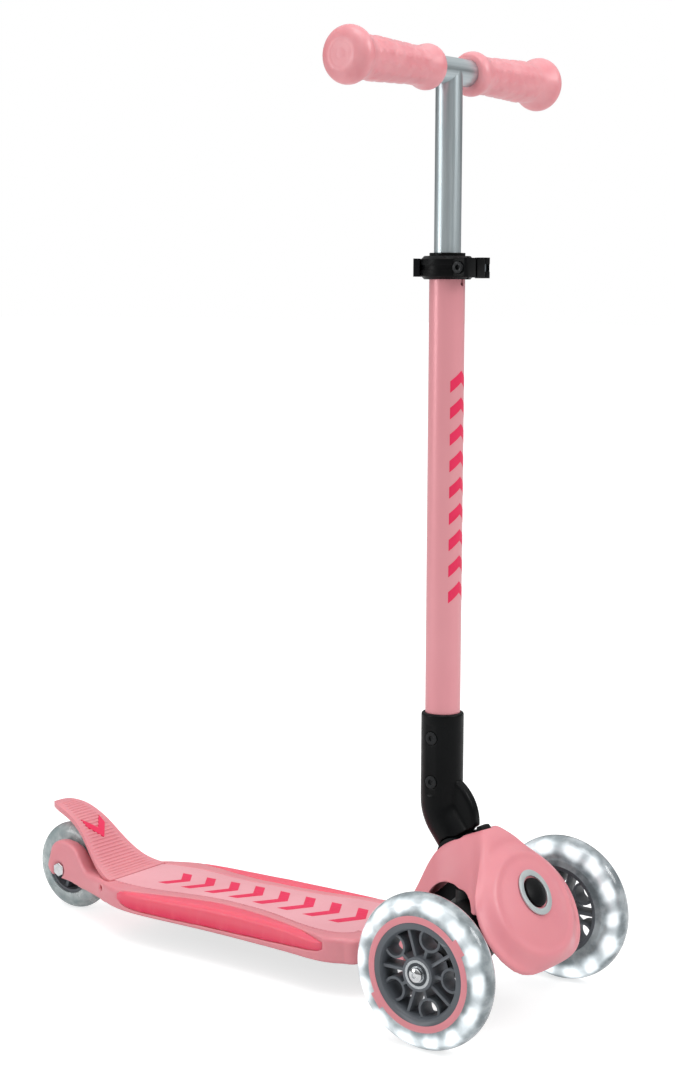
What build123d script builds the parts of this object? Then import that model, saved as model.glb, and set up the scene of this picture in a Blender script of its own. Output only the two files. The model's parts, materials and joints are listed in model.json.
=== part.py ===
from build123d import *
import math
import os

# Kick scooter with two front wheels, one rear wheel, a folding stem and a height-adjustable
# T-bar. Millimetres. The model is laid out with the front axle over y = 0, forward along -Y and
# the ground at z = 0. Each piece is moved back by CENTRE_Y as it is written, so that the origin
# ends up under the middle of the whole scooter.

# ---- driving dimensions ----------------------------------------------------------------------
FRONT_WHEEL_R = 60.5
FRONT_TRACK = 203.7
REAR_WHEEL_R = 40.0
WHEELBASE = 460.0
CENTRE_Y = (WHEELBASE + REAR_WHEEL_R - FRONT_WHEEL_R) / 2

STEM_Y = 54.4
LOWER_TUBE_R = 14.0
LOWER_TUBE_WALL = 1.8
LOWER_TUBE_FOOT_Z = 168.0
LOWER_TUBE_TOP_Z = 596.0
UPPER_TUBE_R = 10.5
TUBE_WALL = 1.5
UPPER_TUBE_FOOT_Z = 500.0
BAR_Z = 737.3
BAR_HALF = 120.0
GRIP_START = 25.0
GRIP_END = 140.0

DECK_BOTTOM = 29.0
DECK_FRONT_Y = 101.0
DECK_TOP_FRONT = 50.5
DECK_TOP_REAR = 46.0
DECK_REAR_Y = 392.0

STEER_TILT = 32.0
BUTTON_Y = -34.0
BUTTON_Z = 103.3
FACE_TILT = 31.0
FACE_Y = -31.0
FACE_Z = 86.0
WALL = 3.0

FOLD_Y = 32.0
FOLD_Z = 124.0
BRAKE_PIN_Y = 389.0
BRAKE_PIN_Z = 40.0

GAP = 0.4
RUNNING = 0.05
AXLE_R = 4.0 - RUNNING
BEARING_BORE_R = 4.0
BEARING_R = 11.0
BEARING_W = 7.0

MIN = Align.MIN
MID = Align.CENTER


# ---- helpers ---------------------------------------------------------------------------------
def save(name, *pieces):
    """Write one node, moved so that the origin is under the middle of the scooter."""
    moved = [Pos(0, -CENTRE_Y, 0) * piece for piece in pieces]
    solids = [solid for piece in moved for solid in piece.solids()]
    shape = solids[0] if len(solids) == 1 else Compound(children=solids)
    shape.label = name
    export_step(shape, f"parts/{name}.step")


def rod(radius, start, direction, length):
    """A cylinder from a point along a direction."""
    return Plane(origin=start, z_dir=direction) * Cylinder(radius, length, align=(MID, MID, MIN))


def ring(outer, inner, start, direction, length):
    """A hollow cylinder from a point along a direction."""
    return rod(outer, start, direction, length) - rod(inner, start, direction, length)


def side_plate(points, half_width):
    """A (y, z) outline made solid from -half_width to +half_width."""
    outline = make_face(Polyline([(y, z) for y, z in points], close=True))
    return extrude(Plane.YZ * outline, half_width, both=True)


def side_curve_plate(top, bottom, half_width):
    """A solid between two smooth (y, z) curves that run the same way."""
    upper = Spline([(y, z) for y, z in top])
    lower = Spline([(y, z) for y, z in bottom])
    ends = Line(upper @ 1, lower @ 1), Line(lower @ 0, upper @ 0)
    outline = make_face(Curve() + [upper, ends[0], lower, ends[1]])
    return extrude(Plane.YZ * outline, half_width, both=True)


def plan_prism(widths, low, high, inset=0.0):
    """A solid whose plan is mirrored about x = 0, from (y, half width) along one side."""
    side = Spline([(width - inset, y) for y, width in widths])
    front = Line(side @ 0, (0, (side @ 0).Y))
    back = Line(side @ 1, (0, (side @ 1).Y))
    middle = Line(front @ 1, back @ 1)
    half = make_face(Curve() + [side, front, back, middle])
    prism = extrude(Pos(0, 0, low) * half, high - low)
    return prism + mirror(prism, Plane.YZ)


def both_sides(shape):
    """The shape and its mirror image across x = 0."""
    return shape, mirror(shape, Plane.YZ)


def coil(radius, wire, turns, height, plane):
    """A compression spring that stands on a plane."""
    path = Helix(pitch=height / turns, height=height, radius=radius)
    section = Plane(origin=path @ 0, z_dir=path % 0) * Circle(wire)
    return plane * sweep(section, path=path, is_frenet=True)


def largest(shape):
    """The largest solid of a shape."""
    return max(shape.solids(), key=lambda solid: solid.volume)


# ---- inclined steering axis and the tilted front face ------------------------------------------
STEER_DIR = Vector(0, math.cos(math.radians(STEER_TILT)), -math.sin(math.radians(STEER_TILT)))
BUTTON_CENTRE = Vector(0, BUTTON_Y, BUTTON_Z)


def on_axis(distance):
    """A point on the steering axis, measured rearward from the front button."""
    return BUTTON_CENTRE + STEER_DIR * distance


def face_plane(depth):
    """A plane parallel to the front face, at a depth behind it. Its local y runs up the face."""
    tilt = math.radians(FACE_TILT)
    inward = Vector(0, math.cos(tilt), -math.sin(tilt))
    return Plane(origin=Vector(0, FACE_Y, FACE_Z) + inward * depth, x_dir=(-1, 0, 0), z_dir=inward)


# ---- front wheels ------------------------------------------------------------------------------
FRONT_TYRE_HALF = 11.0
FRONT_RIM_R = 37.0
FRONT_FLANGE_R = 39.4
TRIM_R = 44.6
LIGHT_RING_HALF = 6.5
LIGHT_RING_R = 41.0
HUB_BOSS_R = 13.2
TAB_TURN = -53.0
HUB_HALF = 8.5
SPOKES = 5


def wheel_plane(side):
    """Plane at a front wheel's centre, its z axis pointing outward."""
    return Plane(origin=(side * FRONT_TRACK / 2, 0, FRONT_WHEEL_R), x_dir=(0, -side, 0),
                 z_dir=(side, 0, 0))


def turned(points):
    """A revolved solid from a closed (radius, height) outline."""
    outline = make_face(Polyline([(r, 0, h) for r, h in points], close=True))
    return revolve(outline, Axis.Z, 360)


def tyre(radius, half, rim_r, groove_r=0.0, groove_half=0.0):
    """A round-profile tyre about Z, with an optional groove on its inner face."""
    shoulder = radius - half
    profile = Rectangle(shoulder - rim_r, 2 * half, align=(MIN, MID))
    section = Pos(rim_r, 0) * profile + Pos(shoulder, 0) * Circle(half)
    section = section & Pos(rim_r, 0) * Rectangle(radius, 2 * half + 1, align=(MIN, MID))
    solid = revolve(Plane.XZ * section, Axis.Z, 360)
    if groove_r:
        solid = solid - extrude(Circle(groove_r), groove_half, both=True)
    return solid


def bearing_seats():
    """The bore of a hub: two bearing pockets with a shoulder between them."""
    spacer_half = HUB_HALF + 2.5 - BEARING_W
    bore = extrude(Circle(BEARING_R - 1.5), spacer_half + 1, both=True)
    for way in (1, -1):
        bore += rod(BEARING_R, (0, 0, way * spacer_half), (0, 0, way), BEARING_W + 5)
    return bore


def front_hub():
    """Rim with an outer flange, a boss, five straight spokes and five looped spokes."""
    rim = turned([(33.2, -9.5), (35.0, -10.2), (FRONT_RIM_R, -10.2), (FRONT_RIM_R, 9.0),
                  (FRONT_FLANGE_R, 9.0), (FRONT_FLANGE_R, 11.0), (34.6, 11.0), (33.2, 8.5)])
    boss = extrude(Circle(HUB_BOSS_R), HUB_HALF + 2.5, both=True)
    spoke = Sketch()
    for number in range(SPOKES):
        turn = Rot(0, 0, number * 360 / SPOKES)
        half_turn = Rot(0, 0, (number + 0.5) * 360 / SPOKES)
        spoke += turn * Pos(12.5, 0) * Rectangle(21.5, 2.4, align=(MIN, MID))
        loop = Pos(28.5, 0) * (Circle(9.6) - Circle(7.6))
        spoke += half_turn * (loop & Rectangle(33.6, 60, align=(MIN, MID)))
        spoke += half_turn * Pos(12.5, 0) * Rectangle(8.0, 2.4, align=(MIN, MID))
    web = extrude(spoke & Circle(34.0), HUB_HALF - 1.0, both=True)
    return rim + boss + web - bearing_seats()


def trim_ring():
    """Flat coloured ring on the outer face, with two opposed tabs."""
    flat = Circle(TRIM_R) - Circle(FRONT_FLANGE_R)
    tabs = Rot(0, 0, TAB_TURN) * (Rectangle(13.0, 2 * (TRIM_R + 3.2)) - Circle(TRIM_R - 1))
    return Pos(0, 0, 9.4) * extrude(flat + tabs, 1.8)


def bearing(face, way):
    """A sealed ball bearing as one ring."""
    return ring(BEARING_R, BEARING_BORE_R, (0, 0, face), (0, 0, way), BEARING_W)


def front_wheel(side, name):
    """Write the pieces of one front wheel."""
    place = wheel_plane(side)
    trim = trim_ring()
    spacer_half = HUB_HALF + 2.5 - BEARING_W
    groove = tyre(FRONT_WHEEL_R, FRONT_TYRE_HALF, FRONT_RIM_R, LIGHT_RING_R, LIGHT_RING_HALF)
    flange_clear = rod(FRONT_FLANGE_R, (0, 0, 9.0), (0, 0, 1), 4)
    save(f"{name}_tyre", place * largest(groove - flange_clear - trim))
    save(f"{name}_trim_ring", place * trim)
    save(f"{name}_light_ring", place * ring(LIGHT_RING_R, FRONT_RIM_R, (0, 0, -LIGHT_RING_HALF),
                                            (0, 0, 1), 2 * LIGHT_RING_HALF))
    save(f"{name}_hub", place * front_hub())
    save(f"{name}_bearings", place * bearing(spacer_half, 1), place * bearing(-spacer_half, -1))
    save(f"{name}_spacer", place * ring(6.5, 4.0 + RUNNING, (0, 0, -spacer_half), (0, 0, 1),
                                        2 * spacer_half))


# ---- truck ---------------------------------------------------------------------------------------
BARREL_START = 24.0
BARREL_END = 62.0
BARREL_R = 15.0
PIVOT_R = 5.0
PIVOT_BUSH_R = 8.0
ARM_END = 89.4
TILT_LIMIT = 15.0
SWEEP_ROOM = 1.2
TRUCK_SECTIONS = [(0, 4, 76, 24, 25), (32, 2, 75, 25, 25), (52, -1, 71, 24.5, 22.5),
                  (72, 0, 64, 19, 17), (ARM_END, 0, FRONT_WHEEL_R, 13, 13)]


def truck_section(x, y, z, half_y, half_z):
    """An elliptical cross-section of the truck's cross arm."""
    return Plane(origin=(x, y, z), x_dir=(0, 1, 0), z_dir=(1, 0, 0)) * Ellipse(half_y, half_z)


def truck_arms(grow):
    """The cross arm on both sides of the pivot, its sections larger by grow."""
    sections = [truck_section(x, y, z, half_y + grow, half_z + grow)
                for x, y, z, half_y, half_z in TRUCK_SECTIONS]
    arm = loft(sections)
    return arm + mirror(arm, Plane.YZ)


def without_sweep(body):
    """The body less the room that the cross arm needs as it tilts from one side to the other."""
    arms = truck_arms(SWEEP_ROOM)
    pivot = Axis(on_axis(0), STEER_DIR)
    for step in (-1, -0.5, 0, 0.5, 1):
        body -= arms.rotate(pivot, step * TILT_LIMIT)
    return body


def truck():
    """Cross arm and pivot barrel, one casting."""
    body = truck_arms(0)
    body += rod(BARREL_R, on_axis(BARREL_START), STEER_DIR, BARREL_END - BARREL_START)
    for start, length in ((0.0, BARREL_START), (BARREL_END, 40.0)):
        body -= rod(BARREL_R + 4, on_axis(start), STEER_DIR, length)
    body -= rod(PIVOT_BUSH_R, on_axis(0), STEER_DIR, 120)
    for side in (1, -1):
        body -= rod(4.0, (side * (ARM_END + 1), 0, FRONT_WHEEL_R), (-side, 0, 0), 34)
        body -= rod(BUMPER_R + 0.5, bumper_foot(side), BUMPER_UP, 40)
    return body


BUMPER_R = 7.0
BUMPER_LENGTH = 13.0
BUMPER_X = 27.0
BUMPER_UP = Vector(0, 0, 1)
BUMPER_BASE_Z = 91.0
BUMPER_Y = 14.0
AXLE_HEAD_R = 5.6


def bumper_foot(side):
    """Where a centring bumper stands on the truck."""
    return Vector(side * BUMPER_X, BUMPER_Y, BUMPER_BASE_Z)


def truck_group():
    """Write the truck and everything that steers with it."""
    save("truck", truck())
    half = (BARREL_END - BARREL_START) / 2
    bushes = [ring(PIVOT_BUSH_R, PIVOT_R + RUNNING, on_axis(BARREL_START), STEER_DIR, half - 3),
              ring(PIVOT_BUSH_R, PIVOT_R + RUNNING, on_axis(BARREL_END), STEER_DIR * -1, half - 3)]
    save("pivot_bushes", *bushes)
    head_x = FRONT_TRACK / 2 + HUB_HALF + 2.5 + GAP
    for side, name in ((1, "left"), (-1, "right")):
        shank = rod(AXLE_R, (side * 58.0, 0, FRONT_WHEEL_R), (side, 0, 0), head_x - 58.0)
        plane = Plane(origin=(side * head_x, 0, FRONT_WHEEL_R), z_dir=(side, 0, 0))
        head = extrude(Circle(AXLE_HEAD_R), 2.4) + Pos(0, 0, 2.4) * dome(AXLE_HEAD_R, 1.6)
        head -= Pos(0, 0, 2.2) * extrude(RegularPolygon(2.3, 6), 3.0)
        save(f"front_{name}_axle_bolt", shank + plane * head)


def dome(radius, height):
    """A shallow spherical cap on the XY plane."""
    ball = (radius ** 2 + height ** 2) / (2 * height)
    cap = Pos(0, 0, height - ball) * Sphere(ball)
    return cap & Cylinder(radius, height, align=(MID, MID, MIN))


# ---- front housing -------------------------------------------------------------------------------
FACE_HALF_WIDTH = 67.0
FACE_LOW = -44.0
FACE_DEPTH = 12.0
FACE_RIM = 3.5
FACE_FRONT = -16.0
BULGE_R = 190.0
# Neck sections behind the face: depth, low edge, half width there, half width at the top, top.
NECK_SECTIONS = [(3.0, 14, 60, 13.5, 77), (18.0, 29, 49, 17, 79), (36.0, 48, 35, 21, 78),
                 (54.0, 50, 33, 22, 71), (72.0, 38, 34, 24, 59), (92.0, 20, 38, 28, 48),
                 (112.0, -4, 43, 34, 38), (132.0, -24, 48, 40, 33)]
SLOT_HALF = 17.8
FIN_SLOT_HALF = 7.0
BUTTON_R = 11.7
TRIM_INNER = 13.6
TRIM_OUTER = 18.6


def face_outline(inset):
    """Teardrop: wide and round at the bottom, straight sides that close in to the top."""
    half = FACE_HALF_WIDTH - inset
    low = FACE_LOW + inset
    right = Spline([(13 - inset / 2, 79 - inset), (36 - inset, 52 - inset / 2), (58 - inset, 27 - inset / 2),
                    (half, -4), (52 - inset, -33 + inset / 2), (0, low)],
                   tangents=[(1, -1), (-1, 0)])
    top = Line((0, 79 - inset), right @ 0)
    axis = Line(right @ 1, top @ 0)
    half_face = make_face(Curve() + [top, right, axis])
    return half_face + mirror(half_face, Plane.YZ)


def neck(inset, drop=0.0):
    """The neck from the front face up over the truck and down to the deck."""
    sections = []
    for depth, low, low_half, high_half, high in NECK_SECTIONS:
        corners = [(-low_half + inset, low - drop), (low_half - inset, low - drop),
                   (high_half - inset, high - inset), (-high_half + inset, high - inset)]
        trapezoid = make_face(Polyline(corners, close=True))
        upper = trapezoid.vertices().sort_by(Axis.Y)[-2:]
        sections.append(face_plane(depth) * fillet(upper, 6.0 - inset))
    return loft(sections)


def face_shell(inset):
    """The dished front of the housing, solid. Inset gives its inner face."""
    prism = extrude(face_plane(FACE_FRONT) * face_outline(inset), FACE_DEPTH - FACE_FRONT + inset)
    centre = on_axis(BULGE_R)
    block = prism & Pos(centre.X, centre.Y, centre.Z) * Sphere(BULGE_R - inset)
    front = block.faces().filter_by(GeomType.SPHERE)[0]
    slab = extrude(face_plane(FACE_FRONT) * Rectangle(400, 400), FACE_RIM - FACE_FRONT + inset)
    return fillet(front.edges(), 8.0 - inset) & slab


def front_housing():
    """Thin shell: the front face and neck, open below, with the fold slot and button hole."""
    outer = face_shell(0) + neck(0)
    inner = face_shell(WALL) + neck(WALL, 6.0)
    shell = outer - inner
    slot = Pos(0, 70) * Rectangle(2 * SLOT_HALF, 86) + Pos(0, 30.5) * Rectangle(2 * FIN_SLOT_HALF, 40)
    shell -= extrude(Pos(0, 0, 96) * slot, 80)
    shell -= rod(BUTTON_R + 0.3, on_axis(-20), STEER_DIR, 50)
    shell -= deck_solid()
    shell = without_sweep(shell)
    shell -= Pos(0, 60, DECK_BOTTOM + UNDERPLATE + 1.0 - 50) * Box(200, 200, 100)
    shell -= Pos(0, DECK_FRONT_Y + 30, 60) * Box(200, 60, 100)
    return largest(shell)


# ---- steering frame and fold hinge -----------------------------------------------------------------
CHEEK_IN = 14.0
CHEEK_OUT = 17.4
FOOT_HALF = CHEEK_IN - GAP
FOOT_R = 13.5
FOLD_PIN_R = 4.0
FRAME_FRONT = 13.0
FRAME_REAR_END = 74.0


def steering_frame():
    """Cast frame inside the housing: pivot bosses, top beam, fold cheeks and a foot on the deck."""
    front_low = on_axis(BARREL_START - GAP)
    rear = on_axis(BARREL_END + GAP)
    beam = side_plate([(-9, 112), (0, 119), (16, 124), (30, 108), (48, 92), (66, 74), (84, 50),
                       (84, DECK_BOTTOM + 3), (58, DECK_BOTTOM + 3), (50, 60), (40, 82), (20, 100),
                       (2, 103), (-10, 98)], CHEEK_OUT)
    beam += rod(15.5, on_axis(FRAME_FRONT), STEER_DIR, BARREL_START - GAP - FRAME_FRONT)
    beam += rod(15.5, rear, STEER_DIR, FRAME_REAR_END - BARREL_END)
    clear = rod(BARREL_R + 1.0, front_low, STEER_DIR, BARREL_END - BARREL_START + 2 * GAP)
    beam -= clear
    cheek = rod(15.0, (-CHEEK_OUT, FOLD_Y, FOLD_Z), (1, 0, 0), 2 * CHEEK_OUT)
    beam += cheek
    beam -= rod(FOOT_R + 2.0, (-CHEEK_IN, FOLD_Y, FOLD_Z), (1, 0, 0), 2 * CHEEK_IN)
    beam -= Pos(0, FOLD_Y + 30, FOLD_Z + 14) * Box(2 * CHEEK_IN, 60, 60)
    beam -= rod(FOLD_PIN_R, (-40, FOLD_Y, FOLD_Z), (1, 0, 0), 80)
    beam -= rod(PIVOT_R, on_axis(0), STEER_DIR, 120)
    beam -= rod(8.6, on_axis(0), STEER_DIR, 19.0)
    beam -= side_plate([(2, 160), (2, 128), (22, 114), (22, 160)], FIN_SLOT_HALF)
    return largest(without_sweep(beam))


def button_group():
    """Write the steering lock button, its spring and the trim ring round it."""
    skirt = rod(BUTTON_R, on_axis(-1.5), STEER_DIR, 9.5)
    skirt -= rod(BUTTON_R - 2.0, on_axis(1.5), STEER_DIR, 12)
    cap = Plane(origin=on_axis(-1.5), z_dir=STEER_DIR * -1) * dome(BUTTON_R, 2.0)
    stem = rod(3.5, on_axis(1.5), STEER_DIR, 7.0)
    save("steering_lock_button", skirt + cap + stem)
    spring_plane = Plane(origin=on_axis(2.3), z_dir=STEER_DIR)
    save("lock_button_spring", coil(6.0, 0.6, 5, 11.0, spring_plane))
    save("button_trim_ring", ring(TRIM_OUTER, TRIM_INNER, on_axis(-0.9), STEER_DIR, 1.4))


def release_group():
    """Write the fold release button in front of the fin, and its spring."""
    tab = side_plate([(11.3, 139), (11.0, 146.8), (13.3, 149.3), (17.0, 148.6), (18.0, 143.0), (18.0, 130.0),
                      (13.5, 130.0), (13.5, 139)], FIN_SLOT_HALF - 0.7)
    save("fold_release_button", fillet(tab.edges().filter_by(Axis.X), 0.8))
    save("release_spring", coil(2.6, 0.5, 4, 8.0, Plane(origin=(0, 14.6, 121.0))))


def pivot_hardware():
    """Write the pivot bolt, its nut, the fold pin and the centring bumpers."""
    bolt = rod(PIVOT_R, on_axis(19.0), STEER_DIR, 64.0)
    bolt = rod(8.0, on_axis(14.0), STEER_DIR, 5.0) + bolt
    save("steering_pivot_bolt", bolt - rod(3.0, on_axis(13.0), STEER_DIR, 4.5))
    nut = extrude(Plane(origin=on_axis(FRAME_REAR_END + GAP), z_dir=STEER_DIR) * RegularPolygon(9.0, 6), 7.0)
    save("steering_pivot_nut", nut - rod(PIVOT_R, on_axis(60), STEER_DIR, 40))
    save("fold_hinge_pin", rod(FOLD_PIN_R, (-CHEEK_OUT, FOLD_Y, FOLD_Z), (1, 0, 0), 2 * CHEEK_OUT))
    bumpers = [rod(BUMPER_R, bumper_foot(side), BUMPER_UP, BUMPER_LENGTH) for side in (1, -1)]
    save("centring_bumpers", *bumpers)


# ---- stem ----------------------------------------------------------------------------------------
ELBOW_R = 17.0
ELBOW_TOP_Z = 236.0
ELBOW_BEND_Z = 166.0
ELBOW_LEAN = 38.0
ELBOW_BOLT_Z = (180.9, 216.5)
FIN_CENTRE = (58.7, 149.0)
FIN_R = 38.9
FIN_HALF = 5.5


def elbow():
    """Socket for the lower tube, a forward bend, the front fin and the foot on the fold pin."""
    sleeve = rod(ELBOW_R, (0, STEM_Y, ELBOW_BEND_Z), (0, 0, 1), ELBOW_TOP_Z - ELBOW_BEND_Z)
    sleeve = fillet(sleeve.edges().sort_by(Axis.Z)[-1], 2.0)
    lean = math.radians(ELBOW_LEAN)
    bend_r = 30.0
    arc = CenterArc((STEM_Y - bend_r, ELBOW_BEND_Z), bend_r, 0, -ELBOW_LEAN)
    along = (-math.sin(lean), -math.cos(lean))
    end = arc @ 1
    foot = Line((end.X, end.Y), (end.X + 16 * along[0], end.Y + 16 * along[1]))
    path = Plane.YZ * (Curve() + [arc, foot])
    bend = sweep(Plane(origin=(0, STEM_Y, ELBOW_BEND_Z)) * Circle(ELBOW_R), path=path)
    fin_disc = rod(FIN_R, (-FIN_HALF, *FIN_CENTRE), (1, 0, 0), 2 * FIN_HALF)
    fin_disc = fillet(fin_disc.edges(), 3.5)
    fin = fin_disc & side_plate([(15, 151), (27, 143), (45, 150), (56, 186), (15, 186)], 20)
    body = sleeve + bend + fin
    for side in (1, -1):
        body -= rod(16.0, (side * FOOT_HALF, FOLD_Y, FOLD_Z), (side, 0, 0), 10)
    body -= side_plate([(-20, 60), (80, 60), (80, 118), (FOLD_Y + 10, 118), (FOLD_Y, FOLD_Z),
                        (FOLD_Y - 12, 137), (-20, 137)], 40)
    body += rod(FOOT_R, (-FOOT_HALF, FOLD_Y, FOLD_Z), (1, 0, 0), 2 * FOOT_HALF)
    body -= rod(6.0, (-30, FOLD_Y, FOLD_Z), (1, 0, 0), 60)
    body -= rod(LOWER_TUBE_R, (0, STEM_Y, LOWER_TUBE_FOOT_Z), (0, 0, 1), 100)
    body -= Pos(-ELBOW_R, STEM_Y, sum(ELBOW_BOLT_Z) / 2) * Box(1.4, 15, 58)
    for height in ELBOW_BOLT_Z:
        body -= rod(3.0, (-30, STEM_Y, height), (1, 0, 0), 60)
        body -= rod(5.4, (-30, STEM_Y, height), (1, 0, 0), 30 - 14.6)
        body -= rod(5.4, (30, STEM_Y, height), (-1, 0, 0), 30 - 14.6)
    return largest(body)


def elbow_bolts():
    """Two socket-head cross bolts and their sleeve nuts."""
    bolts = []
    nuts = []
    for height in ELBOW_BOLT_Z:
        bolt = rod(5.2, (-16.6, STEM_Y, height), (1, 0, 0), 2.0)
        bolt += rod(2.6, (-14.6, STEM_Y, height), (1, 0, 0), 22)
        socket = Plane(origin=(-16.6, STEM_Y, height), z_dir=(1, 0, 0)) * extrude(RegularPolygon(2.3, 6), 1.6)
        bolts.append(bolt - socket)
        nut = rod(5.2, (16.6, STEM_Y, height), (-1, 0, 0), 2.0)
        nut += rod(3.0, (14.6, STEM_Y, height), (-1, 0, 0), 9)
        nuts.append(nut - rod(2.6, (-16, STEM_Y, height), (1, 0, 0), 29))
    save("elbow_bolts", *bolts)
    save("elbow_nuts", *nuts)


COLLAR_LOW = 578.0
COLLAR_HIGH = 596.0
COLLAR_R = 20.5
CLAMP_Y = STEM_Y - 19.5
CLAMP_Z = 587.0
EAR_HALF = 14.0
LEVER_X = 20.0
LEVER_WRAP = 130.0


def clamp_collar():
    """Split collar round the top of the lower tube, with two ears for the clamp bolt."""
    height = COLLAR_HIGH - COLLAR_LOW
    body = rod(COLLAR_R, (0, STEM_Y, COLLAR_LOW), (0, 0, 1), height)
    body = chamfer(body.edges(), 2.5)
    body -= ring(COLLAR_R + 2, COLLAR_R - 1.0, (0, STEM_Y, CLAMP_Z - 2), (0, 0, 1), 4)
    ears = Pos(0, STEM_Y - 18.5, CLAMP_Z) * Box(2 * EAR_HALF, 17, height - 3)
    body += fillet(ears.edges().filter_by(Axis.Z), 3.0)
    body -= rod(LOWER_TUBE_R, (0, STEM_Y, COLLAR_LOW), (0, 0, 1), height)
    body -= Pos(0, STEM_Y - 20, CLAMP_Z) * Box(2.4, 30, height + 1)
    body -= rod(2.6, (-40, CLAMP_Y, CLAMP_Z), (1, 0, 0), 80)
    body -= rod(4.8, (-40, CLAMP_Y, CLAMP_Z), (1, 0, 0), 40 - 11.0)
    return body


def clamp_hardware():
    """Write the clamp bolt with its barrel nut, and the lever with its cam."""
    bolt = rod(4.5, (-15.5, CLAMP_Y, CLAMP_Z), (1, 0, 0), 4.5)
    bolt += rod(2.5, (-11.0, CLAMP_Y, CLAMP_Z), (1, 0, 0), LEVER_X + 11.0)
    socket = Plane(origin=(-15.5, CLAMP_Y, CLAMP_Z), z_dir=(1, 0, 0)) * extrude(RegularPolygon(2.2, 6), 2.5)
    barrel = rod(3.0, (LEVER_X, CLAMP_Y, CLAMP_Z - 7.5), (0, 0, 1), 15)
    save("clamp_bolt", bolt - socket - barrel)
    save("clamp_barrel_nut", barrel)
    cam = rod(5.8, (LEVER_X, CLAMP_Y, CLAMP_Z - 8.0), (0, 0, 1), 16)
    arm = Plane.XY * (Circle(26.5) - Circle(COLLAR_R + 1.2))
    reach = [Vector(60, 0).rotate(Axis.Z, angle) for angle in (-38, 5, 48, 90, LEVER_WRAP)]
    sector = make_face(Polyline([Vector(0, 0), *reach], close=True))
    arm = extrude(Pos(0, STEM_Y, CLAMP_Z - 7.0) * (arm & sector), 14)
    lever = cam + arm
    lever -= rod(3.0 + RUNNING, (LEVER_X, CLAMP_Y, CLAMP_Z - 20), (0, 0, 1), 40)
    for swing in (0, 37, 74, 110):
        slot = Rot(0, 0, swing) * Pos(-6, 0, 0) * Box(12, 5.8, 5.8)
        lever -= Pos(LEVER_X, CLAMP_Y, CLAMP_Z) * slot
    save("clamp_lever", largest(lever))


def stem_group():
    """Write the elbow, lower tube and clamp."""
    save("stem_elbow", elbow())
    elbow_bolts()
    bush = [ring(6.0, FOLD_PIN_R + RUNNING, (side * FOOT_HALF, FOLD_Y, FOLD_Z), (-side, 0, 0), 10)
            for side in (1, -1)]
    save("hinge_bushes", *bush)
    tube = ring(LOWER_TUBE_R, LOWER_TUBE_R - LOWER_TUBE_WALL, (0, STEM_Y, LOWER_TUBE_FOOT_Z), (0, 0, 1),
                LOWER_TUBE_TOP_Z - LOWER_TUBE_FOOT_Z)
    tube -= Pos(0, STEM_Y - LOWER_TUBE_R, (LOWER_TUBE_TOP_Z + 576) / 2) * Box(2.2, 8, LOWER_TUBE_TOP_Z - 576)
    tube -= rod(1.8, (0, STEM_Y, 574.6), (0, -1, 0), 20)
    for height in ELBOW_BOLT_Z:
        tube -= rod(3.1, (-30, STEM_Y, height), (1, 0, 0), 60)
    save("lower_tube", tube)
    inner = LOWER_TUBE_R - LOWER_TUBE_WALL
    sleeve = ring(inner, UPPER_TUBE_R + RUNNING, (0, STEM_Y, LOWER_TUBE_TOP_Z - 55), (0, 0, 1), 55)
    sleeve += ring(LOWER_TUBE_R, UPPER_TUBE_R + RUNNING, (0, STEM_Y, LOWER_TUBE_TOP_Z), (0, 0, 1), 2.4)
    save("clamp_sleeve", sleeve)
    save("clamp_collar", clamp_collar())
    clamp_hardware()


# ---- handlebar -------------------------------------------------------------------------------------
GRIP_PROFILE = [(GRIP_START, 14.2), (27.5, 16.4), (32.0, 17.4), (37.0, 16.3), (44.0, 14.8), (60.0, 14.8),
                (85.0, 15.7), (106.0, 16.2), (117.0, 16.4), (124.0, 19.2), (130.5, 21.4), (136.0, 19.6),
                (139.3, 14.6), (GRIP_END, 9.0)]


def grip(side):
    """Closed-end rubber grip with a small inner flare and a mushroom end."""
    outer = Spline([(x, r) for x, r in GRIP_PROFILE])
    end = Line(outer @ 1, (GRIP_END, 0))
    axis = Line((GRIP_END, 0), (GRIP_START, 0))
    start = Line((GRIP_START, 0), outer @ 0)
    solid = revolve(make_face(Curve() + [outer, end, axis, start]), Axis.X, 360)
    solid -= rod(UPPER_TUBE_R, (GRIP_START - 1, 0, 0), (1, 0, 0), BAR_HALF - GRIP_START + 1)
    placed = Pos(0, STEM_Y, BAR_Z) * solid
    return placed if side > 0 else mirror(placed, Plane.YZ)


def handlebar_group():
    """Write the crossbar, upper tube, its foot bush and the grips."""
    bar = ring(UPPER_TUBE_R, UPPER_TUBE_R - TUBE_WALL, (-BAR_HALF, STEM_Y, BAR_Z), (1, 0, 0), 2 * BAR_HALF)
    save("handlebar_crossbar", bar)
    tube = ring(UPPER_TUBE_R, UPPER_TUBE_R - TUBE_WALL, (0, STEM_Y, UPPER_TUBE_FOOT_Z), (0, 0, 1),
                BAR_Z - UPPER_TUBE_FOOT_Z)
    tube -= rod(UPPER_TUBE_R, (-60, STEM_Y, BAR_Z), (1, 0, 0), 120)
    save("upper_tube", tube)
    foot_r = LOWER_TUBE_R - LOWER_TUBE_WALL - 0.1
    bush = rod(foot_r, (0, STEM_Y, UPPER_TUBE_FOOT_Z - 14), (0, 0, 1), 14)
    bush += rod(UPPER_TUBE_R - TUBE_WALL, (0, STEM_Y, UPPER_TUBE_FOOT_Z), (0, 0, 1), 12)
    bush -= rod(6.0, (0, STEM_Y, UPPER_TUBE_FOOT_Z - 20), (0, 0, 1), 40)
    save("upper_tube_bush", bush)
    save("left_grip", grip(1))
    save("right_grip", grip(-1))


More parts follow.
